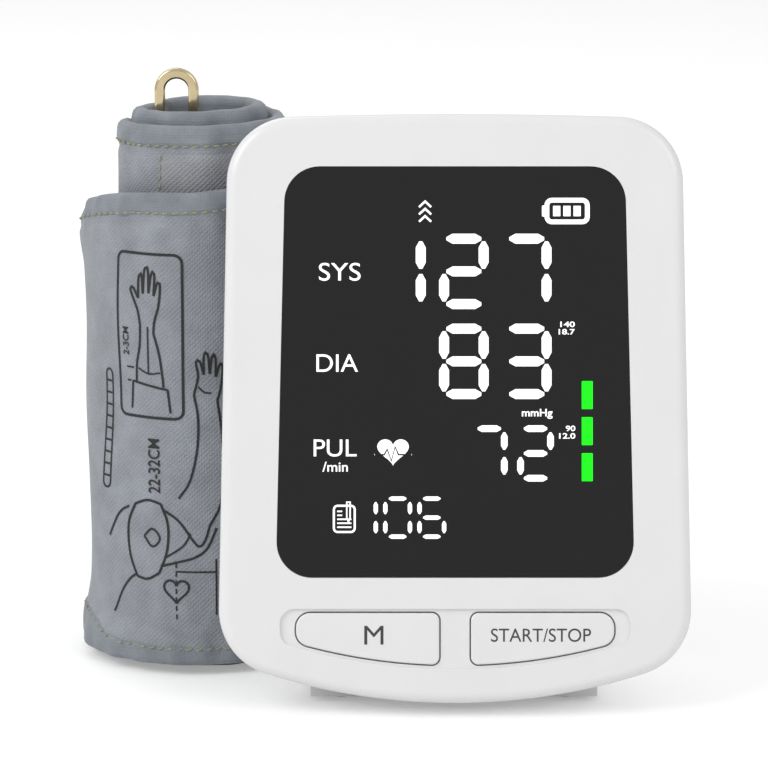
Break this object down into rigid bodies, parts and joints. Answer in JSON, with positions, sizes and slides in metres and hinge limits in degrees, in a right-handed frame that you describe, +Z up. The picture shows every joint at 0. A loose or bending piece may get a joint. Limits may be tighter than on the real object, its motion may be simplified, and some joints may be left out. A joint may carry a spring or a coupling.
{
  "type": "upper arm blood pressure monitor",
  "caption": "Desk blood pressure monitor with a tilted face, dark display window and curved keys, and its rolled arm cuff standing beside it.",
  "frame": {"origin": "middle of the footprint of the whole set, on the table plane", "axes": "+X to the right of someone facing the display, +Y away from them, +Z up"},
  "size_m": [0.1503, 0.0956, 0.1496],
  "materials": {
    "white_gloss": "moulded, glossy",
    "window": "dark, flat and glossy",
    "panel": "matt",
    "board": "lacquered board",
    "dark_plastic": "moulded",
    "steel": "plated",
    "cells": "printed sleeve",
    "rubber": "matt",
    "nylon": "woven, blue-grey",
    "tape": "woven tape",
    "ring_metal": "polished"
  },
  "bodies": {
    "monitor": {"front_shell": "white_gloss", "rear_shell": "white_gloss", "display_window": "window", "display_panel": "panel", "main_board": "board", "memory_switch": "dark_plastic", "start_switch": "dark_plastic", "pressure_sensor": "dark_plastic", "buzzer": "dark_plastic", "case_screws": "steel", "rubber_feet": "rubber", "battery_1": "cells", "battery_2": "cells", "battery_3": "cells", "battery_4": "cells", "contacts_left": "steel", "contacts_right": "steel", "pump_motor": "steel", "pump_head": "dark_plastic", "air_tube": "rubber", "air_manifold": "dark_plastic", "exhaust_valve": "dark_plastic", "air_socket": "dark_plastic", "power_inlet": "dark_plastic"},
    "memory_key": {"memory_button": "white_gloss", "memory_plunger": "dark_plastic"},
    "start_key": {"start_button": "white_gloss", "start_plunger": "dark_plastic"},
    "cell_cover": {"battery_cover": "white_gloss"},
    "cuff": {"cuff_flap": "nylon", "cuff_sleeve": "nylon", "air_bladder": "rubber", "hook_patch": "nylon", "loop_patch": "nylon", "flap_tape_low": "tape", "flap_tape_high": "tape", "sleeve_tape_low": "tape", "sleeve_tape_high": "tape", "hose_nozzle": "dark_plastic"},
    "ring": {"cuff_ring": "ring_metal"}
  },
  "joints": [
    {"name": "memory_press", "type": "slide", "parent": "monitor", "child": "memory_key", "axis": [0, 0.9781, -0.2079], "range_m": [0, 0.0006], "stiffness_N_per_m": 2500, "springref_m": -0.0002},
    {"name": "start_press", "type": "slide", "parent": "monitor", "child": "start_key", "axis": [0, 0.9781, -0.2079], "range_m": [0, 0.0006], "stiffness_N_per_m": 2500, "springref_m": -0.0002},
    {"name": "cover_lift_off", "type": "slide", "parent": "monitor", "child": "cell_cover", "axis": [0, 0.9952, 0.0977], "range_m": [0, 0.03]},
    {"name": "cuff_pull_away", "type": "slide", "parent": "monitor", "child": "cuff", "axis": [-1, 0, 0], "range_m": [0, 0.15]},
    {"name": "ring_swivel", "type": "hinge", "parent": "cuff", "child": "ring", "pos_m": [-0.05465, 0.01612, 0.075], "axis": [0, 0, 1], "range_deg": [-45, 25]}
  ]
}
